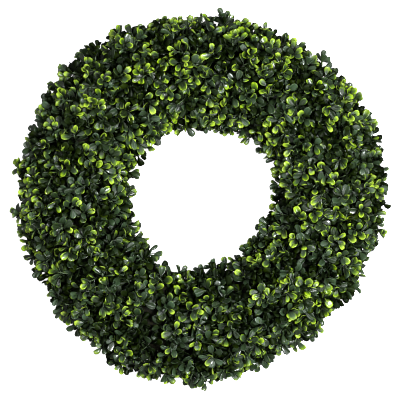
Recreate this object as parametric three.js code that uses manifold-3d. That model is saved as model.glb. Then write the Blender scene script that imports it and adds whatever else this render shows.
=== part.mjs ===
// A round boxwood wreath, lying on its back with its face up.
// Bunches of boxwood sprigs are tied side by side, in three rows, to a flat frame of three wire rings.
// Millimetres. +Z comes out of the face, +Y is the top of the wreath as it hangs, and the surface
// that it lies on is z = 0.

import * as THREE from "three";
import Module from "manifold-3d";
import { mergeVertices } from "three/addons/utils/BufferGeometryUtils.js";

const wasm = await Module();
wasm.setup();

const FULL_TURN = 2 * Math.PI;
const DEGREE = Math.PI / 180;
const UP = new THREE.Vector3(0, 0, 1);

// Driving dimensions of the wreath, to the tips of its ordinary leaves
const OUTER_DIAMETER = 516;
const HOLE_DIAMETER = 182;
const DEPTH = 112;

// The wire frame
const WIRE_DIAMETER = 4;
const RING_SPACING = 30;
const BAR_COUNT = 6;
const BAR_THICKNESS = 3.2;

// The dark heart of each bunch, which its sprigs stand out of
const SPRIG_REACH = 29; // from the hearts to the leaf tips
const HEART_GAP_ALONG = 0.6;
const HEART_GAP_ACROSS = 3;
const HEART_TOP_ANGLE = 195 * DEGREE; // where the hole row starts, from the outward direction
const ROW_ANGLE = 70 * DEGREE;
const HEART_FOOT_WIDTH = 88;

// The tie that holds a bunch to its ring
const TIE_LENGTH = 13;
const TIE_WALL = 2.4;
const TIE_CLEARANCE = 0.35;
const TIE_SUNK = 3;

// A leaf is about twice life, so that few of them still cover the wreath
const LEAF_WIDTH = 19;
const LEAF_LENGTH = 27;
const LEAF_THICKNESS = 0.9;
const WIDEST_AT = 0.62; // of the leaf's length
const TIP_SHARE = 0.56; // the blunt tip's width, of the leaf's width

// A sprig's stem, which is square
const STEM_ROOT_WIDTH = 3.4;
const STEM_TIP_WIDTH = 2.6;
const STEM_SUNK = 7;
const STEM_MARGIN = 7.5; // from the middle of a stem to the edge of its heart, along the surface
const LEAF_ROOT_HEIGHT = 1.8; // of the band round the stem that a pair of leaves grows out of
const PAIR_SPACING = 9;
const PAIR_LIFTS = [[2, 34], [18, 52]]; // degrees from the stem's square, for the lower and top pair
const DROOP = [14, 34]; // degrees that a leaf bends back at its widest place
const LEAN = 9 * DEGREE; // how far a stem leans from straight out of its heart

// Clearances that the leaves keep while they are placed
const BLADE_CLEARANCE = 1.7; // between the middles of two blades
const STEM_CLEARANCE = 3.2;
const HEART_CLEARANCE = 1.2;
const SURFACE_CLEARANCE = 1.5; // above the surface that the wreath lies on
const HOLE_CLEAR_RADIUS = 82;

// The rows of bunches, from the hole outwards. Each takes up the same share of the ring's
// cross-section, where 0 degrees points outwards, 90 out of the face and 180 into the hole.
const ROWS = [
  { name: "hole_row_bunch", bunches: 12, steps: 2, wireSegments: 24 },
  { name: "face_row_bunch", bunches: 18, steps: 1, wireSegments: 36 },
  { name: "rim_row_bunch", bunches: 24, steps: 1, wireSegments: 24 },
];
const SPRIG_COUNT = 129;
const CHOICE = 8; // how many places that fit each sprig picks the emptiest from
const MOST_TRIES = 900;

// The slow waves in the ring's line, and the sprigs that stray out of its outline
const WAVES = [
  { lobes: 1, swell: 3.2, at: 118 },
  { lobes: 2, swell: 3.2, at: 42 },
  { lobes: 3, swell: 4.6, at: 20 },
];
const STRAY_ANGLES = [5, 21, 84, 129, 188, 197, 221, 247, 308, 328, 350];
const STRAY_REACH = 5;
const STRAY_SPAN = 5; // degrees to each side that a stray sprig is picked from
const STRAY_SECTION = 30 * DEGREE; // how far to each side of straight outwards they point

const LEAF_GREEN = new THREE.MeshStandardMaterial({ color: 0x2f4a26, roughness: 0.42, metalness: 0 });
const WIRE_GREEN = new THREE.MeshStandardMaterial({ color: 0x26352a, roughness: 0.5, metalness: 0.6 });

const FLATNESS = 0.002; // how far out of true a face may be and still count as flat

// Values that follow from these
const RING_RADIUS = (OUTER_DIAMETER + HOLE_DIAMETER) / 4;
const HALF_WIDTH = (OUTER_DIAMETER - HOLE_DIAMETER) / 4;
const HEART_HALF_WIDTH = HALF_WIDTH - SPRIG_REACH;
const HEART_HALF_HEIGHT = HEART_HALF_WIDTH - 1;
const CENTRE_HEIGHT = DEPTH - SPRIG_REACH - HEART_HALF_HEIGHT;
const TIE_HALF_HOLE = WIRE_DIAMETER / 2 + TIE_CLEARANCE;
const WIRE_HEIGHT = TIE_WALL + TIE_HALF_HOLE;
const FOOT_HEIGHT = WIRE_HEIGHT + TIE_HALF_HOLE;

// Solids

function solidOf(geometry) {
  const bare = geometry.clone();
  bare.deleteAttribute("normal");
  bare.deleteAttribute("uv");
  const merged = mergeVertices(bare, 1e-4);
  return new wasm.Manifold(
    new wasm.Mesh({
      numProp: 3,
      vertProperties: new Float32Array(merged.attributes.position.array),
      triVerts: new Uint32Array(merged.index.array),
    }),
  );
}

function geometryOf(solid) {
  const mesh = solid.getMesh();
  const geometry = new THREE.BufferGeometry();
  geometry.setAttribute("position", new THREE.BufferAttribute(mesh.vertProperties, 3));
  geometry.setIndex(new THREE.BufferAttribute(mesh.triVerts, 1));
  return geometry;
}

// The pieces as one solid, without the points that a cut leaves in the middle of a flat face.
function joined(geometries) {
  const solid = geometries.map(solidOf).reduce((whole, piece) => whole.add(piece));
  return solid.asOriginal().simplify(FLATNESS);
}

// A closed surface, built up from loops of points. Loops run counter-clockwise as seen from the
// way that they are wrapped towards.
class Skin {
  points = [];
  faces = [];

  add(loop) {
    return loop.map((point) => this.points.push(point) - 1);
  }

  side(a, b, c, d) {
    this.faces.push(a, b, c, a, c, d);
  }

  wrap(from, to) {
    from.forEach((corner, i) => {
      const next = (i + 1) % from.length;
      this.side(corner, from[next], to[next], to[i]);
    });
  }

  cap(loop) {
    for (let i = 1; i + 1 < loop.length; i++) {
      this.faces.push(loop[0], loop[i], loop[i + 1]);
    }
  }

  geometry() {
    const positions = this.points.flatMap((point) => point.toArray());
    const geometry = new THREE.BufferGeometry();
    geometry.setAttribute("position", new THREE.Float32BufferAttribute(positions, 3));
    geometry.setIndex(this.faces);
    return geometry;
  }
}

// The ring's cross-section

// A point at an angle round the cross-section, a given height above the hearts, and round the ring.
function ringPoint(section, above, turn) {
  const radius = RING_RADIUS + (HEART_HALF_WIDTH + above) * Math.cos(section);
  const height = CENTRE_HEIGHT + (HEART_HALF_HEIGHT + above) * Math.sin(section);
  return new THREE.Vector3(radius * Math.cos(turn), radius * Math.sin(turn), height);
}

function heightOverHearts(point) {
  const across = (Math.hypot(point.x, point.y) - RING_RADIUS) / HEART_HALF_WIDTH;
  const up = (point.z - CENTRE_HEIGHT) / HEART_HALF_HEIGHT;
  return (Math.hypot(across, up) - 1) * HEART_HALF_HEIGHT;
}

// A repeatable draw between low and high, which the other numbers pick.
function draw(low, high, ...picks) {
  const mixed = picks.reduce((total, pick, i) => total + pick * (12.9898 + 65.2331 * i), 0.731);
  const wild = Math.sin(mixed) * 43758.5453;
  return low + (wild - Math.floor(wild)) * (high - low);
}

// The frame

function wireRadius(row) {
  return RING_RADIUS + (row - 1) * RING_SPACING;
}

// A ring's wire, turned so that each tie is in the middle of a straight stretch.
function ringWire(row) {
  const { bunches, wireSegments } = ROWS[row];
  const ring = new THREE.TorusGeometry(wireRadius(row), WIRE_DIAMETER / 2, 6, wireSegments);
  ring.rotateZ(Math.PI / bunches - Math.PI / wireSegments);
  return ring.translate(0, 0, WIRE_HEIGHT);
}

function crossBar(turn) {
  const bar = new THREE.BoxGeometry(2 * RING_SPACING, BAR_THICKNESS, BAR_THICKNESS);
  return bar.translate(RING_RADIUS, 0, WIRE_HEIGHT).rotateZ(turn);
}

function wireFrame() {
  const rings = ROWS.map((_, row) => ringWire(row));
  const bars = Array.from({ length: BAR_COUNT }, (_, i) => crossBar((i * FULL_TURN) / BAR_COUNT));
  return joined([...rings, ...bars]);
}

// A bunch's heart, and the tie below it that goes round the ring's wire

function heart(row, turn, span) {
  const { steps } = ROWS[row];
  const top = HEART_TOP_ANGLE - row * ROW_ANGLE;
  const inset = HEART_GAP_ACROSS / 2 / HEART_HALF_WIDTH;
  const sections = [top - inset, top - ROW_ANGLE / 2, top - ROW_ANGLE + inset];
  const footWidth = HEART_FOOT_WIDTH / ROWS.length;
  const footStart = RING_RADIUS - HEART_FOOT_WIDTH / 2 + row * footWidth + HEART_GAP_ACROSS / 2;
  const footRadii = [footStart + footWidth - HEART_GAP_ACROSS, footStart];
  const loops = [];
  for (let step = 0; step <= steps; step++) {
    const side = (2 * step) / steps - 1;
    const turnAt = (radius) => turn + side * (span / 2 - HEART_GAP_ALONG / 2 / radius);
    const foot = footRadii.map((radius) => {
      const at = turnAt(radius);
      return new THREE.Vector3(radius * Math.cos(at), radius * Math.sin(at), FOOT_HEIGHT);
    });
    const crown = sections.map((section) => {
      const radius = RING_RADIUS + HEART_HALF_WIDTH * Math.cos(section);
      return ringPoint(section, 0, turnAt(radius));
    });
    loops.push([...foot, ...crown]);
  }
  const skin = new Skin();
  const rings = loops.map((loop) => skin.add(loop));
  rings.slice(1).forEach((ring, i) => skin.wrap(rings[i], ring));
  skin.cap(rings[0].toReversed());
  skin.cap(rings.at(-1));
  return skin.geometry();
}

function tie(row, turn) {
  const radius = wireRadius(row) * Math.cos(Math.PI / ROWS[row].wireSegments);
  const outside = TIE_HALF_HOLE + TIE_WALL;
  const top = FOOT_HEIGHT + TIE_SUNK;
  const outline = new THREE.Shape([
    new THREE.Vector2(-outside, 0),
    new THREE.Vector2(outside, 0),
    new THREE.Vector2(outside, top),
    new THREE.Vector2(TIE_HALF_HOLE, top),
    new THREE.Vector2(TIE_HALF_HOLE, TIE_WALL),
    new THREE.Vector2(-TIE_HALF_HOLE, TIE_WALL),
    new THREE.Vector2(-TIE_HALF_HOLE, top),
    new THREE.Vector2(-outside, top),
  ]);
  const loop = new THREE.ExtrudeGeometry(outline, { depth: TIE_LENGTH, bevelEnabled: false });
  loop.translate(0, 0, -TIE_LENGTH / 2).rotateX(Math.PI / 2);
  return loop.translate(radius, 0, 0).rotateZ(turn);
}

// Leaves

// The places along a leaf, in the upright plane that it grows out in: its root, widest place and tip.
function leafPlaces({ length, lift, droop }) {
  const inner = WIDEST_AT * length;
  const outer = length - inner;
  const root = [STEM_TIP_WIDTH / 2, 0];
  const widest = [root[0] + inner * Math.cos(lift), inner * Math.sin(lift)];
  const tip = [widest[0] + outer * Math.cos(lift - droop), widest[1] + outer * Math.sin(lift - droop)];
  return [
    { at: root, tilt: 0, half: STEM_TIP_WIDTH / 2 },
    { at: widest, tilt: lift - droop / 2, half: LEAF_WIDTH / 2 },
    { at: tip, tilt: lift - droop, half: (TIP_SHARE * LEAF_WIDTH) / 2 },
  ];
}

// The four corners of a leaf's section at one of its places.
function leafSection({ at, tilt, half }, matrix) {
  const corner = (side, up) =>
    new THREE.Vector3(
      at[0] - (up * Math.sin(tilt) * LEAF_THICKNESS) / 2,
      side * half,
      at[1] + (up * Math.cos(tilt) * LEAF_THICKNESS) / 2,
    ).applyMatrix4(matrix);
  return [corner(-1, -1), corner(1, -1), corner(1, 1), corner(-1, 1)];
}

// What the clearance tests read: a leaf's middle surface as triangles, with points and lines on it.
function leafProbe(leaf) {
  const rows = leafPlaces(leaf).map(({ at, half }) =>
    [-1, 0, 1].map((side) => new THREE.Vector3(at[0], side * half, at[1]).applyMatrix4(leaf.matrix)),
  );
  const triangles = [];
  const points = rows.flat();
  const lines = rows.map(([left, , right]) => new THREE.Line3(left, right));
  for (let i = 0; i + 1 < rows.length; i++) {
    const [a, , b] = rows[i];
    const [c, , d] = rows[i + 1];
    triangles.push(new THREE.Triangle(a, b, d), new THREE.Triangle(a, d, c));
    rows[i].forEach((point, k) => {
      const line = new THREE.Line3(point, rows[i + 1][k]);
      lines.push(line);
      points.push(line.at(1 / 3, new THREE.Vector3()), line.at(2 / 3, new THREE.Vector3()));
    });
  }
  const box = new THREE.Box3().setFromPoints(points).expandByScalar(BLADE_CLEARANCE);
  return { triangles, points, lines, box, root: rows[0][1] };
}

// Clearances

const found = new THREE.Vector3();
const ray = new THREE.Ray();

function comeWithin(clearance, points, triangles) {
  return points.some((point) =>
    triangles.some((triangle) => triangle.closestPointToPoint(point, found).distanceTo(point) < clearance),
  );
}

function cross(lines, triangles) {
  return lines.some((line) => {
    ray.set(line.start, line.delta(new THREE.Vector3()).normalize());
    return triangles.some(({ a, b, c }) => {
      const hit = ray.intersectTriangle(a, b, c, false, found);
      return hit !== null && hit.distanceTo(line.start) < line.distance();
    });
  });
}

function leavesTouch(one, other) {
  if (!one.box.intersectsBox(other.box)) return false;
  return (
    comeWithin(BLADE_CLEARANCE, one.points, other.triangles) ||
    comeWithin(BLADE_CLEARANCE, other.points, one.triangles) ||
    cross(one.lines, other.triangles) ||
    cross(other.lines, one.triangles)
  );
}

function leafIsClear({ points, root }) {
  return points.every(
    (point) =>
      point.z > SURFACE_CLEARANCE &&
      Math.hypot(point.x, point.y) > HOLE_CLEAR_RADIUS &&
      (point.distanceTo(root) < STEM_TIP_WIDTH || heightOverHearts(point) > HEART_CLEARANCE),
  );
}

// Sprigs: a square stem with two crossed pairs of leaves

// How much further than usual a sprig reaches, from the ring's waves and the stray sprigs.
function extraReach(section, turn) {
  const waves = WAVES.map(({ lobes, swell, at }) => swell * Math.cos(lobes * (turn - at * DEGREE)));
  const wave = waves.reduce((sum, part) => sum + part, 0) * Math.cos(section);
  const nearStray = STRAY_ANGLES.some((angle) => Math.abs(turn / DEGREE - angle) < STRAY_SPAN);
  const stray = nearStray && Math.abs(section) < STRAY_SECTION ? STRAY_REACH : 0;
  return wave + stray;
}

// A place that keeps its distance from both ends of its share of a whole.
function insideShare(value, share, margin) {
  const index = Math.floor(value / share);
  const place = THREE.MathUtils.clamp(value, index * share + margin, (index + 1) * share - margin);
  return [index, place];
}

// Which bunch's heart a try at a sprig stands in, and where on it.
function triedPlace(roll) {
  const down = roll(0, ROWS.length * ROW_ANGLE, 1);
  const [row, placeDown] = insideShare(down, ROW_ANGLE, STEM_MARGIN / HEART_HALF_HEIGHT);
  const section = HEART_TOP_ANGLE - placeDown;
  const radius = RING_RADIUS + HEART_HALF_WIDTH * Math.cos(section);
  const span = FULL_TURN / ROWS[row].bunches;
  const [bunch, turn] = insideShare(roll(0, FULL_TURN, 2), span, STEM_MARGIN / radius);
  return { row, bunch, section, radius, turn };
}

function triedShapes(roll) {
  return [0, 1, 2, 3].map((side) => ({
    length: LEAF_LENGTH * roll(0.88, 1.06, 10 + side),
    lift: roll(...PAIR_LIFTS[side % 2], 20 + side) * DEGREE,
    droop: roll(...DROOP, 30 + side) * DEGREE,
  }));
}

// One try at a sprig, whose top leaves reach as far as the wreath does there. Its leaves go round
// the stem in turn, from the lower pair and the top pair by turns.
function triedSprig(number, attempt) {
  const roll = (low, high, pick) => draw(low, high, number, attempt, pick);
  const { row, bunch, section, radius, turn } = triedPlace(roll);
  const shapes = triedShapes(roll);
  const rise = Math.max(...shapes.flatMap((shape) => leafPlaces(shape).map(({ at }) => at[1])));
  const above = SPRIG_REACH - rise + extraReach(section, turn);
  const leanAcross = roll(-LEAN, LEAN, 3);
  const leanAlong = (roll(-LEAN, LEAN, 4) * above) / radius;
  const root = ringPoint(section, -STEM_SUNK, turn);
  const tip = ringPoint(section + leanAcross, above, turn + leanAlong);
  const axis = tip.clone().sub(root).normalize();
  const stand = new THREE.Matrix4().makeRotationFromQuaternion(
    new THREE.Quaternion().setFromUnitVectors(UP, axis),
  );
  const twist = roll(0, Math.PI / 2, 5);
  const leaves = shapes.map((shape, side) => {
    const centre = tip.clone().addScaledVector(axis, ((side % 2) - 1) * PAIR_SPACING);
    const about = new THREE.Matrix4().makeRotationZ(twist + (side * Math.PI) / 2);
    return { ...shape, matrix: stand.clone().multiply(about).setPosition(centre) };
  });
  const probes = leaves.map(leafProbe);
  return { row, bunch, root, tip, leaves, probes, stemPoints: stemPoints(root, tip) };
}

// Points along the part of a stem that stands clear of its heart.
function stemPoints(root, tip) {
  return [0.45, 0.6, 0.75, 0.9, 1].map((share) => root.clone().lerp(tip, share));
}

// Leaves of one sprig may meet at their roots.
function ownLeavesTouch(one, other) {
  const outerPoints = (leaf) => leaf.points.filter((point) => point.distanceTo(leaf.root) > PAIR_SPACING);
  return (
    comeWithin(BLADE_CLEARANCE, outerPoints(one), other.triangles) ||
    comeWithin(BLADE_CLEARANCE, outerPoints(other), one.triangles)
  );
}

function sprigsTouch(one, other) {
  if (one.tip.distanceTo(other.tip) > 3 * LEAF_LENGTH) return false;
  const nearStem = (leaf, sprig) => comeWithin(STEM_CLEARANCE, sprig.stemPoints, leaf.triangles);
  return one.probes.some(
    (leaf) =>
      nearStem(leaf, other) ||
      other.probes.some((otherLeaf) => leavesTouch(leaf, otherLeaf) || nearStem(otherLeaf, one)),
  );
}

function fits(sprig, others) {
  const { probes } = sprig;
  const crowded = probes.some((leaf, k) => probes.slice(k + 1).some((own) => ownLeavesTouch(leaf, own)));
  return !crowded && probes.every(leafIsClear) && !others.some((other) => sprigsTouch(sprig, other));
}

// Sprigs that are clear of each other, each in the emptiest of the first few places that fit it.
function grownSprigs() {
  const sprigs = [];
  for (let number = 0; number < SPRIG_COUNT; number++) {
    const choice = [];
    for (let attempt = 0; attempt < MOST_TRIES && choice.length < CHOICE; attempt++) {
      const sprig = triedSprig(number, attempt);
      if (fits(sprig, sprigs)) {
        const room = Math.min(...sprigs.map((other) => other.tip.distanceTo(sprig.tip)));
        choice.push({ sprig, room });
      }
    }
    if (choice.length > 0) {
      sprigs.push(choice.reduce((best, next) => (next.room > best.room ? next : best)).sprig);
    }
  }
  return sprigs;
}

// The stem's four corners at a height along it, measured from one of its leaves' roots.
function stemSection({ matrix }, height, width) {
  const corner = (x, y) =>
    new THREE.Vector3((x * width) / 2, (y * width) / 2, height).applyMatrix4(matrix);
  return [corner(1, -1), corner(1, 1), corner(-1, 1), corner(-1, -1)];
}

// A sprig as one skin. Each pair of leaves is drawn out of two opposite sides of a band of the stem.
function sprigSkin({ root, tip, leaves }) {
  const skin = new Skin();
  const [first] = leaves; // a leaf of the lower pair, which the stem is measured from
  const toRoot = PAIR_SPACING - root.distanceTo(tip);
  const half = LEAF_ROOT_HEIGHT / 2;
  const foot = skin.add(stemSection(first, toRoot, STEM_ROOT_WIDTH));
  const bands = [0, PAIR_SPACING].map((height) => [
    skin.add(stemSection(first, height - half, STEM_TIP_WIDTH)),
    skin.add(stemSection(first, height + half, STEM_TIP_WIDTH)),
  ]);
  skin.cap(foot.toReversed());
  skin.wrap(foot, bands[0][0]);
  skin.wrap(bands[0][1], bands[1][0]);
  skin.cap(bands[1][1]);
  bands.forEach(([low, high], level) => {
    leaves.forEach((leaf, side) => {
      const next = (side + 1) % 4;
      const opening = [low[side], low[next], high[next], high[side]];
      if (side % 2 !== level) {
        skin.side(...opening);
        return;
      }
      const [, widestPlace, tipPlace] = leafPlaces(leaf);
      const widest = skin.add(leafSection(widestPlace, leaf.matrix));
      const end = skin.add(leafSection(tipPlace, leaf.matrix));
      skin.wrap(opening, widest);
      skin.wrap(widest, end);
      skin.cap(end);
    });
  });
  return skin.geometry();
}

function bunch(row, index, sprigs) {
  const span = FULL_TURN / ROWS[row].bunches;
  const turn = (index + 0.5) * span;
  const own = sprigs.filter((sprig) => sprig.row === row && sprig.bunch === index);
  return joined([heart(row, turn, span), tie(row, turn), ...own.map(sprigSkin)]);
}

// The wreath

const wreath = new THREE.Group();

function addPiece(name, solid, material) {
  const piece = new THREE.Mesh(geometryOf(solid), material);
  piece.name = name;
  wreath.add(piece);
}

addPiece("wire_frame", wireFrame(), WIRE_GREEN);
const sprigs = grownSprigs();
ROWS.forEach(({ name, bunches }, row) => {
  for (let index = 0; index < bunches; index++) {
    const label = String(index + 1).padStart(2, "0");
    addPiece(`${name}_${label}`, bunch(row, index, sprigs), LEAF_GREEN);
  }
});

export default wreath;
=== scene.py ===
# A round boxwood wreath of moulded plastic, lying on its back and seen from straight above.
# Finely leafed bunches and smooth wires take the place of the solids that the frame holds.
# Metres, with +Z out of the wreath's face and +Y at the top of the photograph.

import math

import bpy
import numpy as np
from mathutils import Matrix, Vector


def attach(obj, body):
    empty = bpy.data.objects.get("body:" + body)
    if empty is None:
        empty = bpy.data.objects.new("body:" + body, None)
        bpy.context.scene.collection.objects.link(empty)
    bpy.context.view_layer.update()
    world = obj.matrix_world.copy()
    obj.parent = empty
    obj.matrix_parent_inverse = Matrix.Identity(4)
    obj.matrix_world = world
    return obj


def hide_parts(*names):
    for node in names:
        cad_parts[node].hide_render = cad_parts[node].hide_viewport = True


MM = 0.001
DEGREE = math.pi / 180
FULL_TURN = 2 * math.pi

# The wreath's driving dimensions, the same as the solids'
OUTER_DIAMETER = 516 * MM
HOLE_DIAMETER = 182 * MM
DEPTH = 112 * MM
SPRIG_REACH = 29 * MM  # from the hearts to the leaf tips
WIRE_DIAMETER = 4 * MM
BAR_DIAMETER = 3.2 * MM
RING_SPACING = 30 * MM
BAR_COUNT = 6
FIRST_SECTION = -15 * DEGREE  # the cross-section's angle at the rim, where 0 points outwards
LAST_SECTION = 195 * DEGREE  # and inside the hole
FOOT_WIDTH = 88 * MM

# Rows of bunches, from the hole outwards, each with an equal share of the cross-section
ROWS = (("hole_row_bunch", 12), ("face_row_bunch", 18), ("rim_row_bunch", 24))

# Slow waves in the ring's rim and its hole, as (lobes, swell, angle), and sprigs that stray out of it
RIM_WAVES = (
    (1, 3.9 * MM, 119 * DEGREE),
    (2, 2.8 * MM, 56 * DEGREE),
    (3, 5.1 * MM, 21 * DEGREE),
    (5, 1.6 * MM, -21 * DEGREE),
)
HOLE_WAVES = (
    (1, 2.1 * MM, 61 * DEGREE),
    (2, 4.8 * MM, 42 * DEGREE),
    (3, 4.8 * MM, 21 * DEGREE),
    (4, 1.3 * MM, -20 * DEGREE),
    (6, 1.3 * MM, -2 * DEGREE),
)
STRAY_ANGLES = (5, 22, 81, 129, 172, 188, 221, 245, 308, 328, 350)  # degrees round the ring
STRAY_REACH = 7 * MM
STRAY_SPAN = 2.5  # degrees to each side
STRAY_SECTION = 30 * DEGREE

# Dark hollows in the foliage, as (turn in degrees, distance from the ring's axis, half its width)
HOLLOWS = (
    (78, 195 * MM, 10 * MM),
    (199, 128 * MM, 11 * MM),
    (227, 166 * MM, 9 * MM),
    (249, 178 * MM, 16 * MM),
    (251, 210 * MM, 16 * MM),
    (264, 210 * MM, 10 * MM),
    (290, 121 * MM, 11 * MM),
    (328, 171 * MM, 11 * MM),
)
HOLLOW_DEPTH = 20 * MM
HOLLOW_LIME_SHADE = -0.8  # painted shade: how much less lime the sprigs in them are, so that the hollows read darker

# Sprigs: a stem with crossed pairs of leaves, the youngest at its tip
STEM_SUNK = 22 * MM  # how deep below the hearts' surface a stem starts
STEM_DIAMETERS = (1.9 * MM, 1.1 * MM)  # at its root and its tip
LEANS = (5 * DEGREE, 35 * DEGREE)  # of a stem away from straight out
KNEE_HEIGHT = 0.5  # where a stem bends over, as a share of its height above the hearts
KNEE_SWING = 0.25  # how much of its lean it has there
PAIR_DISTANCES = np.array([0, 6, 12.5, 19]) * MM  # down from the stem's tip
PAIR_LIFTS = np.array([54, 36, 24, 12]) * DEGREE  # above square to the stem
PAIR_SIZES = np.array([0.82, 0.98, 1.05, 1.05])
PAIR_YOUTH = np.array([0.94, 0.6, 0.36, 0.2])  # how lime its leaves tend to be
PAIR_SHADES = np.array([1, 0.95, 0.65, 0.4])  # how light the green of its older leaves can be, darker on the lower pairs as painted shade where they lie deeper
LEVELLING = 0.6  # how far a leaf on a level stem turns about its own length to lie level itself
SURFACE_CLEARANCE = 1 * MM  # of the leaves above what the wreath lies on

# A leaf with its stalk
LEAF_LENGTH = 18.3 * MM
LEAF_WIDTH = 10 * MM
LEAF_THICKNESS = 0.7 * MM
STALK_SHARE = 0.25  # of its length
LEAF_FOLD = 0.5  # how deep it is folded at its midrib, as a share of how deep it is cupped

# How sprigs and leaves differ, as (least, most), as (average, spread) or as a spread alone
STRETCH_RANGE = (0.85, 1.2)  # of the distances between a sprig's pairs
SIZE_RANGE = (0.86, 1.1)
WIDTH_RANGE = (0.88, 1.08)
BEND_DEGREES = (26, 26)  # that a leaf bends back from its stalk to its tip
CUPPING = (0.3, 0.22)  # of a leaf across its midrib
TURN_SPREAD = 18 * DEGREE  # round the stem
LIFT_SPREAD = 15 * DEGREE
ROLL_SPREAD = 16 * DEGREE  # about a leaf's own length
SPRIG_YOUTH_SPREAD = 0.2
LEAF_YOUTH_SPREAD = 0.26

# Where on the ring the sprigs are limer or less lime, partly as painted light and shade
USUAL_AGE = 0.06
LIMEST_LIGHTEST_SIDE = 90 * DEGREE  # the turn at which the sprigs are limest: there is more lime there, and it also lightens the top as painted light
LIME_LIGHT_SWING = 0.07
SIDE_SINE = 0.6  # below this height round the cross-section the leaves get less lime and darker, as painted shade
SIDE_LIME_SHADE = 0.16  # how much less lime they are level with the section's middle, as painted shade
SIDE_SHADE = 0.5  # and how much darker their green is, as painted shade

# How sprigs keep out of each other's way
LAST_LOOK_CHANCE = 0.12  # that a place found for a sprig is the last one looked at
TRIES = 5  # how many ways each sprig is grown, of which it keeps the one that costs least
NEIGHBOUR_DISTANCE = 45 * MM
CROSSING_DISTANCE = 3.2 * MM  # between the middles of leaves, within which they count as crossing
LOST_LEAF_COST = 3  # for a leaf left out, as it would reach below the wreath
HOLLOW_COST = 12  # for a stem that ends in the middle of a hollow

# Hearts: the masses that the sprigs grow out of, painted dark as shade deep in the wreath, fuller than the
# solids' at the ring's sides and flatter at its face, where the leaves need the room
HEART_FLATTENING = 1 * MM  # how much less they reach up than sideways from their middle
HEART_INSETS = (-7 * MM, 13 * MM)  # from the solids', at the sides and at the face
LUMP_SIZE = 9 * MM
LUMP_HEIGHT = 2.2 * MM
FOOT_LUMPS = 0.4  # the share of the lumps' height that there is below the hearts

# Ties: strands of a bunch's stems wound round its wire, from which the stems fan out below the heart
TIE_LENGTH = 13 * MM
TIE_STRAND = 2.4 * MM
TIE_TURNS = 4
TIE_CLEARANCE = 0.35 * MM  # of the solids' ties round the wire
STRAND_CLEARANCE = 0.2 * MM
FAN_STEMS = 9  # to each side of the wire
FAN_ANGLES = (14 * DEGREE, 166 * DEGREE)  # of the outermost, from the wire's own direction
FAN_DIAMETERS = (2.6 * MM, 2 * MM)
FAN_DROP = 0.4 * MM  # of its stems' middles below the heart, at the tie
FAN_RISE = 1.2 * MM  # and how far they rise from there
FAN_ANGLE_SPREAD = 6 * DEGREE
FAN_SWERVE = 0.12  # as a share of half the bunch's span

# How finely things are divided: points along a line, and sides round it
STEM_POINTS, STEM_SIDES = 5, 4
FAN_POINTS, FAN_SIDES = 6, 5
COIL_STEPS, COIL_SIDES = 14, 6  # steps in each turn of a tie's strand
RING_STEPS, RING_SIDES = 120, 12
BAR_POINTS, BAR_SIDES = 9, 10
HEART_SLICES, HEART_FOOT_POINTS, HEART_TOP_POINTS = 13, 7, 9
STEM_STEP = 0.02  # the share of a stem before and after a leaf that gives the stem's direction there

# Floor, light and the photograph's view
FLOOR_HALF_WIDTH = 30
SOFTBOX_COLOUR = (0.95, 0.975, 1.0)
ROOM_BRIGHTNESS = 0.32
CAMERA_DISTANCE = 2.6
PHOTO_WIDTH = 552 * MM  # that the photograph spans, at the height of the wreath's outline
PHOTO_MIDDLE = (-1.4 * MM, -2.1 * MM)
OUTLINE_HEIGHT = 45 * MM

# Values that follow from these
RING_RADIUS = (OUTER_DIAMETER + HOLE_DIAMETER) / 4
HALF_WIDTH = (OUTER_DIAMETER - HOLE_DIAMETER) / 4
HEART_HALF_WIDTH = HALF_WIDTH - SPRIG_REACH
HEART_HALF_HEIGHT = HEART_HALF_WIDTH - HEART_FLATTENING
CENTRE_HEIGHT = DEPTH - SPRIG_REACH - HEART_HALF_HEIGHT
ROW_SPAN = (LAST_SECTION - FIRST_SECTION) / len(ROWS)
WIRE_HEIGHT = WIRE_DIAMETER / 2 + TIE_STRAND + TIE_CLEARANCE
FOOT_HEIGHT = WIRE_HEIGHT + WIRE_DIAMETER / 2 + TIE_CLEARANCE
ROW_FOOT_WIDTH = FOOT_WIDTH / len(ROWS)
LEAVES_ON_SPRIG = 2 * len(PAIR_DISTANCES)


class LeafForm:
    """The places that a leaf's points have along it and across it, and its width at each."""

    def __init__(self, stations, widths, across):
        self.stations = np.array(stations)
        self.widths = np.array(widths)
        self.across = np.array(across)


FINE_LEAF = LeafForm(
    stations=(0, 0.22, 0.36, 0.53, 0.75, 0.93, 1),
    widths=(0.13, 0.11, 0.48, 0.84, 1, 0.76, 0.4),
    across=(-1, -0.62, 0, 0.62, 1),
)
PLAIN_LEAF = LeafForm(
    stations=(0, 0.28, 0.55, 0.84, 1),
    widths=(0.14, 0.16, 0.78, 0.98, 0.36),
    across=(-1, 0, 1),
)

# Names of the materials
LEAF, INNER_LEAF, STEM = "boxwood_leaf", "boxwood_shaded_inner_leaf", "boxwood_stem"
HEART, WIRE = "boxwood_heart", "coated_wire"

# Layers of sprigs, whose stems end this far below the surface that the leaf tips reach
LAYERS = (
    {"sprigs": 640, "depths": (11.3 * MM, 23.2 * MM), "form": FINE_LEAF, "material": LEAF},
    {"sprigs": 820, "depths": (16.5 * MM, 29 * MM), "form": PLAIN_LEAF, "material": INNER_LEAF},
)

draws = np.random.default_rng(11)

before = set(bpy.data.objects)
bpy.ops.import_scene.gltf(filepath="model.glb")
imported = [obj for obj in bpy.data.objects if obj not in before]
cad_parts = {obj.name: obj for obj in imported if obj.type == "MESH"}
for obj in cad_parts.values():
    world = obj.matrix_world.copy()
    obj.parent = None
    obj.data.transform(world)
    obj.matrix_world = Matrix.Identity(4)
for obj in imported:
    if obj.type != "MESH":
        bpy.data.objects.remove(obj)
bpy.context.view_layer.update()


# The ring's surface


def around_axis(radius, turn, height):
    """The point at a distance from the ring's axis, a turn round it and a height."""
    coordinates = np.broadcast_arrays(radius * np.cos(turn), radius * np.sin(turn), height)
    return np.stack(coordinates, axis=-1)


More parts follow.
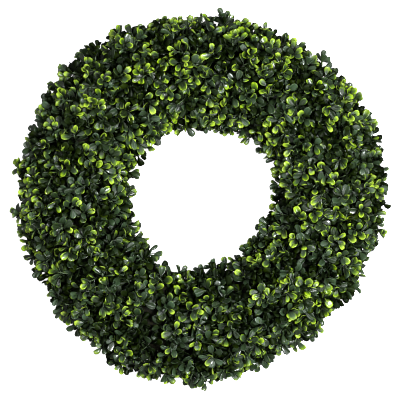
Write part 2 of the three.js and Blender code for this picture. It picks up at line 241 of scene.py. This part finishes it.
def ring_point(section, above, turn):
    """The point that stands so far above the hearts, at an angle round the cross-section and a turn."""
    radius = RING_RADIUS + (HEART_HALF_WIDTH + above) * np.cos(section)
    height = CENTRE_HEIGHT + (HEART_HALF_HEIGHT + above) * np.sin(section)
    return around_axis(radius, turn, height)


def outward(section, turn):
    """The direction straight out of the ring's surface."""
    return around_axis(np.cos(section), turn, np.sin(section))


def extra_reach(section, turn):
    """How much further than usual the leaves reach here, in the ring's waves and stray sprigs."""
    waves = RIM_WAVES if math.cos(section) > 0 else HOLE_WAVES
    wave = sum(swell * math.cos(lobes * (turn - at)) for lobes, swell, at in waves)
    near_stray = any(abs(turn / DEGREE - angle) < STRAY_SPAN for angle in STRAY_ANGLES)
    stray = STRAY_REACH if near_stray and abs(section) < STRAY_SECTION else 0
    return wave * math.cos(section) + stray


def hollowness(point):
    """How far inside one of the hollows a point is, from 0 outside it to 1 in its middle."""
    inside = 0
    for angle, radius, half_width in HOLLOWS:
        middle = radius * np.array([math.cos(angle * DEGREE), math.sin(angle * DEGREE)])
        inside = max(inside, math.exp(-((np.linalg.norm(point[:2] - middle) / half_width) ** 2)))
    return inside


def bunch_at(section, turn):
    """The row and number of the bunch that a place on the ring belongs to."""
    row = min(int((LAST_SECTION - section) / ROW_SPAN), len(ROWS) - 1)
    bunches = ROWS[row][1]
    return row, int(turn / FULL_TURN * bunches) % bunches


def bunch_turns(row, number):
    """The turns between which a bunch lies."""
    span = FULL_TURN / ROWS[row][1]
    return number * span, (number + 1) * span


def wire_radius(row):
    return RING_RADIUS + (row - 1) * RING_SPACING


# Vectors


def unit(vectors):
    return vectors / np.linalg.norm(vectors, axis=-1, keepdims=True)


def square_to(axis, turn):
    """A direction square to the axis, at a turn round it."""
    skew = (0.31, 0.52, 0.79)
    side = unit(np.cross(axis, skew))
    return side * math.cos(turn) + np.cross(axis, side) * math.sin(turn)


def turned(vectors, axis, angle):
    """The vectors, turned by an angle round an axis."""
    along = axis * (vectors @ axis)[..., None]
    return along + (vectors - along) * math.cos(angle) + np.cross(axis, vectors) * math.sin(angle)


# Sprigs


def empty_place(taken):
    """A place on the ring, picked from a few as the one furthest from the places already taken."""
    best, best_gap = None, -1
    while best is None or draws.random() > LAST_LOOK_CHANCE:
        section = draws.uniform(FIRST_SECTION, LAST_SECTION)
        share_of_surface = (RING_RADIUS + HALF_WIDTH * math.cos(section)) / (RING_RADIUS + HALF_WIDTH)
        turn = draws.uniform(0, FULL_TURN)
        point = ring_point(section, SPRIG_REACH, turn)
        if draws.random() > share_of_surface * (1 - hollowness(point)):
            continue
        gap = np.linalg.norm(taken - point, axis=1).min() if len(taken) else 1
        if gap > best_gap:
            best, best_gap = (section, turn, point), gap
    return best


def youth_and_lightness(section, turn, point):
    """How lime a sprig is here, and how light the green of its older leaves can be, with painted shade at
    the ring's sides and in the hollows and painted light towards the top.
    """
    youth = draws.normal(LIME_LIGHT_SWING * math.cos(turn - LIMEST_LIGHTEST_SIDE) - USUAL_AGE, SPRIG_YOUTH_SPREAD)
    lowness = max(0, 1 - math.sin(section) / SIDE_SINE)
    # Painted shade: less lime in the hollows and at the sides, and a darker green at the sides
    youth += HOLLOW_LIME_SHADE * hollowness(point) - SIDE_LIME_SHADE * lowness
    return youth, 1 - SIDE_SHADE * min(1, lowness)


def stem_line(section, turn, depths):
    """A function that gives the points of a stem, from 0 at its root to 1 at its tip."""
    axis = outward(section, turn)
    reach = SPRIG_REACH + extra_reach(section, turn) - draws.uniform(*depths)
    reach -= HOLLOW_DEPTH * hollowness(ring_point(section, SPRIG_REACH, turn))
    root = ring_point(section, -STEM_SUNK, turn)
    side = square_to(axis, draws.uniform(0, FULL_TURN))
    lean = draws.uniform(*LEANS)
    swing = side * math.tan(lean) * (reach + STEM_SUNK)
    tip = ring_point(section, reach, turn) + swing
    knee = ring_point(section, reach * KNEE_HEIGHT, turn) + swing * KNEE_SWING

    def at(share):
        share = np.asarray(share)[..., None]
        return root * (1 - share) ** 2 + knee * 2 * share * (1 - share) + tip * share**2

    return at


def levelling_roll(axis, out, lift):
    """How far a leaf turns about its own length, so that it lies more level on a level stem."""
    rise = axis[2] * math.cos(lift) - out[2] * math.sin(lift)
    to_level = math.atan2(-np.cross(axis, out)[2] * math.copysign(1, rise), abs(rise))
    return LEVELLING * (1 - abs(axis[2])) * to_level


def grown_leaf(base, axis, turn, pair, youth, shaded_lightness):
    """A leaf of one of the pairs, at a turn round the stem's axis."""
    out = square_to(axis, turn)
    lift = PAIR_LIFTS[pair] + draws.normal(0, LIFT_SPREAD)
    along = out * math.cos(lift) + axis * math.sin(lift)
    size = PAIR_SIZES[pair] * draws.uniform(*SIZE_RANGE)
    lime = np.clip(PAIR_YOUTH[pair] + youth + draws.normal(0, LEAF_YOUTH_SPREAD), 0, 1)
    roll = levelling_roll(axis, out, lift) + draws.normal(0, ROLL_SPREAD)
    return {
        "base": base,
        "frame": turned(np.array([out, np.cross(axis, out), axis]), along, roll),
        "length": LEAF_LENGTH * size,
        "width": LEAF_WIDTH * size * draws.uniform(*WIDTH_RANGE),
        "lift": lift,
        "bend": draws.normal(*BEND_DEGREES) * DEGREE,
        "cup": draws.normal(*CUPPING),
        # The leaf's tone is random, darkened as painted shade on the lower pairs and at the ring's sides
        "look": (lime, draws.random() * PAIR_SHADES[pair] * shaded_lightness, draws.random()),
    }


def grown_leaves(stem, form, youth, shaded_lightness):
    """The leaves of a sprig, as arrays with a row for each leaf."""
    length = np.linalg.norm(stem(1.0) - stem(0.0))
    twist = draws.uniform(0, FULL_TURN)
    stretch = draws.uniform(*STRETCH_RANGE)
    rows = []
    for pair, distance in enumerate(PAIR_DISTANCES * stretch):
        share = 1 - distance / length
        axis = unit(stem(min(share + STEM_STEP, 1)) - stem(share - STEM_STEP))
        for side in range(2):
            turn = twist + side * math.pi + pair * math.pi / 2 + draws.normal(0, TURN_SPREAD)
            rows.append(grown_leaf(stem(share), axis, turn, pair, youth, shaded_lightness))
    leaves = {key: np.array([row[key] for row in rows]) for key in rows[0]}
    clear = leaves_clear(leaves, form)
    return {key: values[clear] for key, values in leaves.items()}


def leaf_grid(leaves, form, side):
    """Points of the leaves at every station and place across, on their top (1) or underside (-1)."""
    length, width, lift, bend, cup = (
        leaves[key][:, None] for key in ("length", "width", "lift", "bend", "cup")
    )

    # A leaf bends back evenly along its length, and has its own lift halfway
    middles = (form.stations[1:] + form.stations[:-1]) / 2
    steps = np.diff(form.stations) * length
    slope = lift + bend * (0.5 - middles)
    start = np.zeros_like(length)
    out = np.concatenate([start, np.cumsum(np.cos(slope) * steps, axis=1)], axis=1)
    rise = np.concatenate([start, np.cumsum(np.sin(slope) * steps, axis=1)], axis=1)

    # Across, it is cupped, and folded at its midrib
    slope_at = (lift + bend * (0.5 - form.stations))[..., None]
    half = (form.widths * width / 2)[..., None]
    hollow = cup[..., None] * half * (form.across**2 - LEAF_FOLD * (1 - abs(form.across)))
    depth = hollow + side * LEAF_THICKNESS / 2 * np.sqrt(1 - form.across**2)
    local = np.stack(
        [
            out[..., None] - np.sin(slope_at) * depth,
            half * form.across + 0 * depth,
            rise[..., None] + np.cos(slope_at) * depth,
        ],
        axis=-1,
    )
    return leaves["base"][:, None, None] + np.einsum("nscj,njk->nsck", local, leaves["frame"])


def leaves_clear(leaves, form):
    """Which leaves stay above what the wreath lies on, and out from below its hearts."""
    points = leaf_grid(leaves, form, 0)
    height = points[..., 2]
    off_middle = abs(np.linalg.norm(points[..., :2], axis=-1) - RING_RADIUS)
    clear = (height > SURFACE_CLEARANCE) & ((height > FOOT_HEIGHT) | (off_middle > FOOT_WIDTH / 2))
    return clear.all(axis=(1, 2))


def leaf_middles(leaves, form):
    """A few points down the middle of each leaf, by which sprigs keep out of each other."""
    midrib = len(form.across) // 2
    return leaf_grid(leaves, form, 0)[:, 2::2, midrib].reshape(-1, 3)


def crossing(points, others):
    """How much leaves cross others, from points down the middles of both."""
    gaps = np.linalg.norm(points[:, None] - others[None], axis=2)
    return np.exp(-((gaps / CROSSING_DISTANCE) ** 2)).sum()


def grown_sprig(section, turn, layer, youth, shaded_lightness, others):
    """A sprig grown one way, with what that costs in leaves that cross others or are lost."""
    stem = stem_line(section, turn, layer["depths"])
    leaves = grown_leaves(stem, layer["form"], youth, shaded_lightness)
    middles = leaf_middles(leaves, layer["form"])
    lost = LEAVES_ON_SPRIG - len(leaves["length"])
    return {
        "bunch": bunch_at(section, turn),
        "layer": layer,
        "stem": stem,
        "leaves": leaves,
        "middles": middles,
        "cost": crossing(middles, others) + LOST_LEAF_COST * lost + HOLLOW_COST * hollowness(stem(1.0)),
    }


def grown_sprigs():
    """All the sprigs, each grown a few ways and kept the way that costs least."""
    sprigs = []
    grown_at = np.empty((0, 3))
    for layer in LAYERS:
        taken = np.empty((0, 3))
        for _ in range(layer["sprigs"]):
            section, turn, point = empty_place(taken)
            taken = np.concatenate([taken, point[None]])
            youth, shaded_lightness = youth_and_lightness(section, turn, point)
            near = np.flatnonzero(np.linalg.norm(grown_at - point, axis=1) < NEIGHBOUR_DISTANCE)
            others = np.concatenate([np.empty((0, 3)), *(sprigs[i]["middles"] for i in near)])
            tries = [grown_sprig(section, turn, layer, youth, shaded_lightness, others) for _ in range(TRIES)]
            sprig = min(tries, key=lambda one: one["cost"])
            if len(sprig["middles"]):
                grown_at = np.concatenate([grown_at, point[None]])
                sprigs.append(sprig)
    return sprigs


# Meshes


class Skin:
    """Gathers the points, faces and leaf patterns of one piece."""

    def __init__(self):
        self.points, self.faces, self.blades, self.looks, self.materials = [], [], [], [], []
        self.count = 0

    def add(self, material, points, faces, blades=None, looks=None):
        self.faces += [tuple(corner + self.count for corner in face) for face in faces]
        self.materials += [material] * len(faces)
        self.points.append(points)
        self.blades.append(np.zeros_like(points) if blades is None else blades)
        self.looks.append(np.zeros_like(points) if looks is None else looks)
        self.count += len(points)

    def piece(self, name, slot, replaced):
        """Makes the piece, which rides on the one body and takes the place of one of the solids."""
        mesh = bpy.data.meshes.new(name)
        mesh.from_pydata(np.concatenate(self.points).tolist(), [], self.faces)
        materials = list(dict.fromkeys(self.materials))
        for material in materials:
            mesh.materials.append(MATERIALS[material])
        mesh.polygons.foreach_set("material_index", [materials.index(one) for one in self.materials])
        mesh.shade_smooth()
        for attribute, rows in (("blade", self.blades), ("look", self.looks)):
            values = np.concatenate(rows).astype(np.float32).ravel()
            mesh.attributes.new(attribute, "FLOAT_VECTOR", "POINT").data.foreach_set("vector", values)
        piece = bpy.data.objects.new(name, mesh)
        bpy.context.scene.collection.objects.link(piece)
        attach(piece, "root")
        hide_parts(replaced)


def joined_outlines(outlines):
    """Points and faces of a closed form, from outlines with as many points each, one after another."""
    size = len(outlines[0])
    last = (len(outlines) - 1) * size
    faces = [tuple(range(size))[::-1], tuple(range(last, last + size))]
    for low in range(0, last, size):
        high = low + size
        for i in range(size):
            following = (i + 1) % size
            faces.append((low + i, low + following, high + following, high + i))
    return np.concatenate(outlines), faces


def tube(line, radii, sides):
    """Points and faces of a round tube with closed ends."""
    ahead = unit(np.gradient(line, axis=0))
    side = square_to(ahead[0], 0)
    turns = np.arange(sides)[:, None] / sides * FULL_TURN
    rings = []
    for point, axis, radius in zip(line, ahead, radii):
        side = unit(side - axis * (side @ axis))
        rings.append(point + radius * (side * np.cos(turns) + np.cross(axis, side) * np.sin(turns)))
    return joined_outlines(rings)


def leaf_faces(form):
    """The faces of one leaf. Its top has a point for each place, and its underside shares the rim's."""
    stations, columns = len(form.stations), len(form.across)
    top = np.arange(stations * columns).reshape(stations, columns)
    under = top.copy()
    inner = (stations - 2) * (columns - 2)
    under[1:-1, 1:-1] = top.size + np.arange(inner).reshape(stations - 2, columns - 2)
    faces = []
    for i in range(stations - 1):
        for j in range(columns - 1):
            faces.append((top[i, j], top[i + 1, j], top[i + 1, j + 1], top[i, j + 1]))
            faces.append((under[i, j], under[i, j + 1], under[i + 1, j + 1], under[i + 1, j]))
    return np.array(faces)


def on_leaf_points(top, under):
    """Values on the grid of a leaf's top and underside, in the order of the leaf's points."""
    inside = under[:, 1:-1, 1:-1]
    return np.concatenate([top.reshape(len(top), -1, 3), inside.reshape(len(top), -1, 3)], axis=1)


def leaf_pattern(form, side):
    """Place across, place along the blade and side of each grid point, which the materials read."""
    along = (form.stations - STALK_SHARE) / (1 - STALK_SHARE)
    across, along = np.meshgrid(form.across, along)
    return np.stack([across, along, side * np.sqrt(1 - across**2)], axis=-1)[None]


def add_leaves(skin, leaves, form, material):
    """The leaves of one sprig, each a closed thin mesh."""
    points = on_leaf_points(leaf_grid(leaves, form, 1), leaf_grid(leaves, form, -1))
    leaf_count, corner_count = points.shape[:2]
    pattern = on_leaf_points(leaf_pattern(form, 1), leaf_pattern(form, -1))
    shifts = np.arange(leaf_count)[:, None, None] * corner_count
    faces = (leaf_faces(form)[None] + shifts).reshape(-1, 4).tolist()
    blades = np.tile(pattern, (leaf_count, 1, 1)).reshape(-1, 3)
    looks = np.repeat(leaves["look"], corner_count, axis=0)
    skin.add(material, points.reshape(-1, 3), faces, blades, looks)


def add_stem(skin, stem):
    shares = np.linspace(0, 1, STEM_POINTS)
    radii = np.interp(shares, (0, 1), STEM_DIAMETERS) / 2
    points, faces = tube(stem(shares), radii, STEM_SIDES)
    blades = np.zeros_like(points)
    blades[:, 1] = np.repeat(shares, STEM_SIDES)
    skin.add(STEM, points, faces, blades)


def lumps(point):
    """Lumps in a heart's surface, where its stems are gathered."""
    x, y, z = point / LUMP_SIZE
    return LUMP_HEIGHT * (math.sin(x + 1.7 * math.sin(y)) + math.sin(1.3 * y + z) * math.cos(0.8 * z + x))


def heart_outline(row, turn):
    """The outline of a row's heart, where a plane through the ring's axis cuts it."""
    top = LAST_SECTION - row * ROW_SPAN
    inner_foot = RING_RADIUS - FOOT_WIDTH / 2 + row * ROW_FOOT_WIDTH
    outline = []
    for radius in np.linspace(inner_foot + ROW_FOOT_WIDTH, inner_foot, HEART_FOOT_POINTS):
        point = around_axis(radius, turn, FOOT_HEIGHT)
        point[2] += max(0, FOOT_LUMPS * lumps(point))
        outline.append(point)
    for section in np.linspace(top, top - ROW_SPAN, HEART_TOP_POINTS):
        point = ring_point(section, 0, turn)
        inset = np.interp(math.sin(section), (0, 1), HEART_INSETS)
        outline.append(point + outward(section, turn) * (lumps(point) - inset))
    return outline


def add_heart(skin, row, number):
    turns = np.linspace(*bunch_turns(row, number), HEART_SLICES)
    skin.add(HEART, *joined_outlines([heart_outline(row, turn) for turn in turns]))


def add_tie(skin, row, number):
    """A strand wound round the ring's wire, under the heart."""
    start, end = bunch_turns(row, number)
    winding = WIRE_DIAMETER / 2 + TIE_STRAND / 2 + STRAND_CLEARANCE
    shares = np.linspace(0, 1, COIL_STEPS * TIE_TURNS + 1)
    around = shares * TIE_TURNS * FULL_TURN - math.pi / 2
    radius = wire_radius(row) + winding * np.cos(around)
    turn = (start + end) / 2 + (shares - 0.5) * TIE_LENGTH / wire_radius(row)
    coil = around_axis(radius, turn, WIRE_HEIGHT + winding * np.sin(around))
    skin.add(STEM, *tube(coil, np.full(len(coil), TIE_STRAND / 2), COIL_SIDES))


def add_fan(skin, row, number):
    """The stems that spread from the tie to the edges of the heart's foot, and up into the heart there."""
    start, end = bunch_turns(row, number)
    half_span = (end - start) / 2
    angles = np.linspace(*FAN_ANGLES, FAN_STEMS)
    shares = np.linspace(0, 1, FAN_POINTS)
    radii = np.interp(shares, (0, 1), FAN_DIAMETERS) / 2
    for angle in (*angles, *-angles):
        angle += draws.normal(0, FAN_ANGLE_SPREAD)
        along, across = math.cos(angle), math.sin(angle)
        out = shares / max(abs(along), abs(across))
        swerve = draws.normal(0, FAN_SWERVE) * shares**2
        radius = wire_radius(row) + out * across * ROW_FOOT_WIDTH / 2
        turn = start + half_span + (out * along + swerve) * half_span
        height = FOOT_HEIGHT - FAN_DROP + FAN_RISE * shares**4
        skin.add(STEM, *tube(around_axis(radius, turn, height), radii, FAN_SIDES))


def make_bunch(row, number, sprigs):
    """The sprigs of a bunch, with the heart, tie and fan of stems that hold them."""
    skin = Skin()
    for sprig in sprigs:
        add_leaves(skin, sprig["leaves"], sprig["layer"]["form"], sprig["layer"]["material"])
        add_stem(skin, sprig["stem"])
    add_heart(skin, row, number)
    add_tie(skin, row, number)
    add_fan(skin, row, number)
    name = f"{ROWS[row][0]}_{number + 1:02d}"
    skin.piece(f"leafy_{name}", "foliage", name)


def make_wire_frame():
    """A wire ring for each row of bunches, and bars that join them."""
    skin = Skin()
    turns = np.linspace(0, FULL_TURN, RING_STEPS + 1)
    for row in range(len(ROWS)):
        line = around_axis(wire_radius(row), turns, WIRE_HEIGHT)
        skin.add(WIRE, *tube(line, np.full(len(line), WIRE_DIAMETER / 2), RING_SIDES))
    radii = np.linspace(wire_radius(0), wire_radius(len(ROWS) - 1), BAR_POINTS)
    for bar in range(BAR_COUNT):
        line = around_axis(radii, bar * FULL_TURN / BAR_COUNT, WIRE_HEIGHT)
        skin.add(WIRE, *tube(line, np.full(len(line), BAR_DIAMETER / 2), BAR_SIDES))
    skin.piece("round_wire_frame", "wire", "wire_frame")


# Materials

# Colours, as (darkest, lightest)
# The old greens' darker end is reached through the leaves' own random tone and through painted shade
OLD_GREENS = ((0.005, 0.011, 0.001), (0.040, 0.073, 0.036))
HALF_GROWN_GREENS = ((0.058, 0.120, 0.0), (0.118, 0.19, 0.012))
LIMES = ((0.215, 0.34, 0.0), (0.32, 0.445, 0.03))
MIDRIB_GREEN = (0.05, 0.085, 0.03)
UNDERSIDE_GREEN = (0.03, 0.055, 0.02)
# Painted shade: the deep leaves' colours, from nearly black to the dim olive of lime leaves in shadow
INNER_SHADE_BLACK = (0.001, 0.003, 0.0)
INNER_SHADED_GREENS = ((0.015, 0.027, 0.0), (0.013, 0.022, 0.008))
# The stems' brown, darkened as painted shade where the roots lie deep
SHADED_BARKS = ((0.005, 0.004, 0.002), (0.010, 0.008, 0.004))
STEM_GREENS = ((0.05, 0.08, 0.03), (0.08, 0.12, 0.05))
# Painted shade: the hearts are nearly black for lying deep in the wreath
HEART_SHADE_BROWNS = ((0.001, 0.0015, 0.0005), (0.009, 0.008, 0.003))
COAT_GREENS = ((0.010, 0.022, 0.014), (0.020, 0.036, 0.022))
FLOOR_GREYS = ((0.36, 0.36, 0.36), (0.39, 0.39, 0.39))

# The lime of a leaf, which grows in from its rim and its tip, and further the younger the leaf is
LIME_START = 1.66
LIME_GROWTH = -0.9
RIM_PULL = 0.38
TIP_PULL = 0.86
HALF_GROWN_EDGE = (-0.27, 0.08)  # over which old green turns half grown
LIME_EDGE = (0.0, 0.32)  # over which that turns lime

NOISE_RANGE = (0.3, 0.7)  # in which nearly all of a noise's values lie
LEAF_BLOTCHES = 170.0  # the scale of the noise that makes leaves uneven
BUMP_STRENGTH = 0.6

# Sockets of a Mix node that mixes colours
MIX_SHARE, MIX_FIRST, MIX_SECOND, MIX_RESULT = 0, 6, 7, 2


class Nodes:
    """Builds a material's nodes in few words."""

    def __init__(self, name):
        self.material = bpy.data.materials.new(name)
        self.material.use_nodes = True
        self.tree = self.material.node_tree
        self.shader = self.tree.nodes["Principled BSDF"]

    def put(self, value, socket):
        """Links another socket to this one, or sets it to a number or a colour."""
        if isinstance(value, bpy.types.NodeSocket):
            self.tree.links.new(value, socket)
        elif isinstance(value, tuple):
            socket.default_value = (*value, 1)
        else:
            socket.default_value = value

    def node(self, kind, inputs=(), **settings):
        node = self.tree.nodes.new(kind)
        for name, value in settings.items():
            setattr(node, name, value)
        for name, value in dict(inputs).items():
            self.put(value, node.inputs[name])
        return node

    def math(self, operation, *values):
        node = self.node("ShaderNodeMath", operation=operation)
        for value, socket in zip(values, node.inputs):
            self.put(value, socket)
        return node.outputs[0]

    def attribute(self, name):
        """The three values of an attribute of the mesh."""
        vector = self.node("ShaderNodeAttribute", attribute_name=name).outputs["Vector"]
        return self.node("ShaderNodeSeparateXYZ", {"Vector": vector}).outputs

    def noise(self, scale, detail=2.0):
        place = self.node("ShaderNodeTexCoord").outputs["Object"]
        inputs = {"Vector": place, "Scale": scale, "Detail": detail}
        return self.node("ShaderNodeTexNoise", inputs).outputs["Fac"]

    def spread(self, value, low, high, new_low=0.0, new_high=1.0):
        """The value, moved smoothly from one range to another."""
        ranges = {"From Min": low, "From Max": high, "To Min": new_low, "To Max": new_high}
        inputs = {"Value": value, **ranges}
        return self.node("ShaderNodeMapRange", inputs, interpolation_type="SMOOTHSTEP").outputs[0]

    def blend(self, share, first, second):
        """A colour between two others."""
        node = self.node("ShaderNodeMix", data_type="RGBA")
        self.put(share, node.inputs[MIX_SHARE])
        self.put(first, node.inputs[MIX_FIRST])
        self.put(second, node.inputs[MIX_SECOND])
        return node.outputs[MIX_RESULT]

    def finish(self, colour, roughness, height, depth):
        inputs = {"Height": height, "Distance": depth, "Strength": BUMP_STRENGTH}
        bump = self.node("ShaderNodeBump", inputs)
        self.put(colour, self.shader.inputs["Base Color"])
        self.put(roughness, self.shader.inputs["Roughness"])
        self.put(bump.outputs["Normal"], self.shader.inputs["Normal"])
        return self.material


def leaf_material():
    """Dark glossy green, with lime growing in from the rim and the tip of the younger leaves, and the
    green darker towards the base as painted shade.
    """
    nodes = Nodes(LEAF)
    across, along, side = nodes.attribute("blade")
    lime, tone_and_shade, seed = nodes.attribute("look")
    blotch = nodes.noise(LEAF_BLOTCHES)
    from_middle = nodes.math("ABSOLUTE", across)

    # Veins that run outwards and forwards from the midrib
    slant = nodes.math("MULTIPLY_ADD", from_middle, -0.5, along)
    veins = nodes.math("SINE", nodes.math("MULTIPLY", slant, 44.0))

    # How far out towards the rim and the tip a place is, and how far that is inside the lime
    outer = nodes.math("MULTIPLY", nodes.math("POWER", from_middle, 3.0), RIM_PULL)
    towards_rim = nodes.math("MULTIPLY_ADD", along, TIP_PULL, outer)
    ragged = nodes.math("MULTIPLY_ADD", blotch, 0.5, towards_rim)
    ragged = nodes.math("MULTIPLY_ADD", veins, 0.03, ragged)
    start = nodes.math("MULTIPLY_ADD", lime, LIME_GROWTH, LIME_START)
    inside_lime = nodes.math("SUBTRACT", ragged, start)

    # From the dark green of the old parts to lime, with the old green darker towards the leaf's base and
    # middle as painted shade
    shaded_lightness = nodes.math("MULTIPLY", tone_and_shade, nodes.spread(towards_rim, 0.0, 1.0, 0.15, 1.0))
    old = nodes.blend(shaded_lightness, *OLD_GREENS)
    half_grown = nodes.blend(seed, *HALF_GROWN_GREENS)
    young = nodes.blend(seed, *LIMES)
    colour = nodes.blend(nodes.spread(inside_lime, *HALF_GROWN_EDGE), old, half_grown)
    colour = nodes.blend(nodes.spread(inside_lime, *LIME_EDGE), colour, young)

    # A pale midrib, and a duller underside
    midrib = nodes.spread(from_middle, 0.0, 0.16, 1.0, 0.0)
    colour = nodes.blend(nodes.math("MULTIPLY", midrib, 0.25), colour, MIDRIB_GREEN)
    underneath = nodes.spread(side, -0.1, 0.1, 0.4, 0.0)
    colour = nodes.blend(underneath, colour, UNDERSIDE_GREEN)

    # Raised veins, a sunken midrib and a coat of gloss
    height = nodes.math("MULTIPLY_ADD", veins, 0.25, nodes.noise(900.0))
    height = nodes.math("SUBTRACT", height, nodes.math("MULTIPLY", midrib, 1.2))
    roughness = nodes.spread(blotch, *NOISE_RANGE, 0.36, 0.5)
    nodes.shader.inputs["Specular IOR Level"].default_value = 0.35
    nodes.shader.inputs["Coat Weight"].default_value = 0.36
    nodes.shader.inputs["Coat Roughness"].default_value = 0.1
    return nodes.finish(colour, roughness, height, depth=0.25 * MM)


def shaded_inner_leaf_material():
    """The deep leaves, dull, and painted in shade: nearly black to the dim olive of lime leaves in shadow.
    """
    nodes = Nodes(INNER_LEAF)
    across, along, _ = nodes.attribute("blade")
    _, tone_and_shade, seed = nodes.attribute("look")
    blotch = nodes.noise(LEAF_BLOTCHES)
    midrib = nodes.spread(nodes.math("ABSOLUTE", across), 0.0, 0.2, 0.3, 0.0)
    # Painted shade: darker towards the base
    shaded_lightness = nodes.math("MULTIPLY", tone_and_shade, nodes.spread(along, 0.0, 1.0, 0.3, 1.0))
    shaded_lightness = nodes.math("MAXIMUM", shaded_lightness, midrib)
    colour = nodes.blend(shaded_lightness, INNER_SHADE_BLACK, nodes.blend(seed, *INNER_SHADED_GREENS))
    roughness = nodes.spread(blotch, *NOISE_RANGE, 0.35, 0.55)
    nodes.shader.inputs["Specular IOR Level"].default_value = 0.08
    return nodes.finish(colour, roughness, blotch, depth=0.3 * MM)


def stem_material():
    """Brown at the root, darkened there nearly to black as painted shade, and a dull green towards the
    tip, with fine grooves.
    """
    nodes = Nodes(STEM)
    _, along, _ = nodes.attribute("blade")
    grooves = nodes.noise(1200.0)
    shaded_bark = nodes.blend(nodes.noise(60.0), *SHADED_BARKS)
    green = nodes.blend(nodes.noise(300.0), *STEM_GREENS)
    colour = nodes.blend(nodes.spread(along, 0.45, 0.85), shaded_bark, green)
    roughness = nodes.spread(grooves, *NOISE_RANGE, 0.4, 0.6)
    return nodes.finish(colour, roughness, grooves, depth=0.2 * MM)


def heart_material():
    """Gathered stems, painted almost black for the shade they lie in."""
    nodes = Nodes(HEART)
    fibres = nodes.noise(420.0, detail=4.0)
    colour = nodes.blend(nodes.spread(fibres, 0.35, 0.7), *HEART_SHADE_BROWNS)
    roughness = nodes.spread(fibres, *NOISE_RANGE, 0.7, 0.95)
    nodes.shader.inputs["Specular IOR Level"].default_value = 0.1
    return nodes.finish(colour, roughness, fibres, depth=1.5 * MM)


def wire_material():
    """Wire with a dark green coat."""
    nodes = Nodes(WIRE)
    coat = nodes.noise(240.0, detail=3.0)
    colour = nodes.blend(nodes.spread(coat, 0.35, 0.65), *COAT_GREENS)
    roughness = nodes.spread(coat, *NOISE_RANGE, 0.32, 0.5)
    return nodes.finish(colour, roughness, coat, depth=0.1 * MM)


def floor_material():
    """Pale paper that glows, so that it shows white."""
    nodes = Nodes("pale_floor")
    paper = nodes.noise(35.0, detail=5.0)
    colour = nodes.blend(nodes.spread(paper, *NOISE_RANGE), *FLOOR_GREYS)
    nodes.shader.inputs["Emission Color"].default_value = (1, 1, 1, 1)
    nodes.shader.inputs["Emission Strength"].default_value = 1.0
    return nodes.finish(colour, 0.9, paper, depth=0.1 * MM)


# Stage


def make_floor():
    """A wide white floor, which the leaves' gloss doesn't mirror."""
    half = FLOOR_HALF_WIDTH
    mesh = bpy.data.meshes.new("floor")
    corners = [(-half, -half, 0), (half, -half, 0), (half, half, 0), (-half, half, 0)]
    mesh.from_pydata(corners, [], [(0, 1, 2, 3)])
    mesh.materials.append(floor_material())
    floor = bpy.data.objects.new("floor", mesh)
    floor.visible_glossy = False
    bpy.context.scene.collection.objects.link(floor)


def make_softbox(name, place, size, power):
    """A round light, aimed at the wreath."""
    light = bpy.data.lights.new(name, "AREA")
    light.shape = "DISK"
    light.size = size
    light.energy = power
    light.color = SOFTBOX_COLOUR
    holder = bpy.data.objects.new(name, light)
    holder.location = place
    aim = Vector((0, 0, DEPTH / 2)) - Vector(place)
    holder.rotation_euler = aim.to_track_quat("-Z", "Y").to_euler()
    bpy.context.scene.collection.objects.link(holder)


def make_lights():
    make_softbox("softbox_right", place=(0.82, -0.15, 2.0), size=0.55, power=113)
    make_softbox("softbox_left", place=(-0.8, 0.55, 1.9), size=0.6, power=19)
    world = bpy.data.worlds.new("white_room")
    world.use_nodes = True
    background = world.node_tree.nodes["Background"]
    background.inputs["Color"].default_value = (1, 1, 1, 1)
    background.inputs["Strength"].default_value = ROOM_BRIGHTNESS
    bpy.context.scene.world = world


def make_camera():
    """Looks straight down from afar, so that the photograph's width spans the wreath as measured."""
    camera = bpy.data.cameras.new("camera")
    camera.lens = camera.sensor_width * CAMERA_DISTANCE / PHOTO_WIDTH
    holder = bpy.data.objects.new("camera", camera)
    holder.location = (*PHOTO_MIDDLE, OUTLINE_HEIGHT + CAMERA_DISTANCE)
    bpy.context.scene.collection.objects.link(holder)
    bpy.context.scene.camera = holder


# The whole scene

MATERIALS = {
    LEAF: leaf_material(),
    INNER_LEAF: shaded_inner_leaf_material(),
    STEM: stem_material(),
    HEART: heart_material(),
    WIRE: wire_material(),
}

sprigs = grown_sprigs()
for row, (_, bunches) in enumerate(ROWS):
    for number in range(bunches):
        make_bunch(row, number, [sprig for sprig in sprigs if sprig["bunch"] == (row, number)])
make_wire_frame()
make_floor()
make_lights()
make_camera()
bpy.context.scene.view_settings.view_transform = "Standard"
bpy.context.scene.cycles.filter_width = 1.1  # pixels, a little sharper than usual
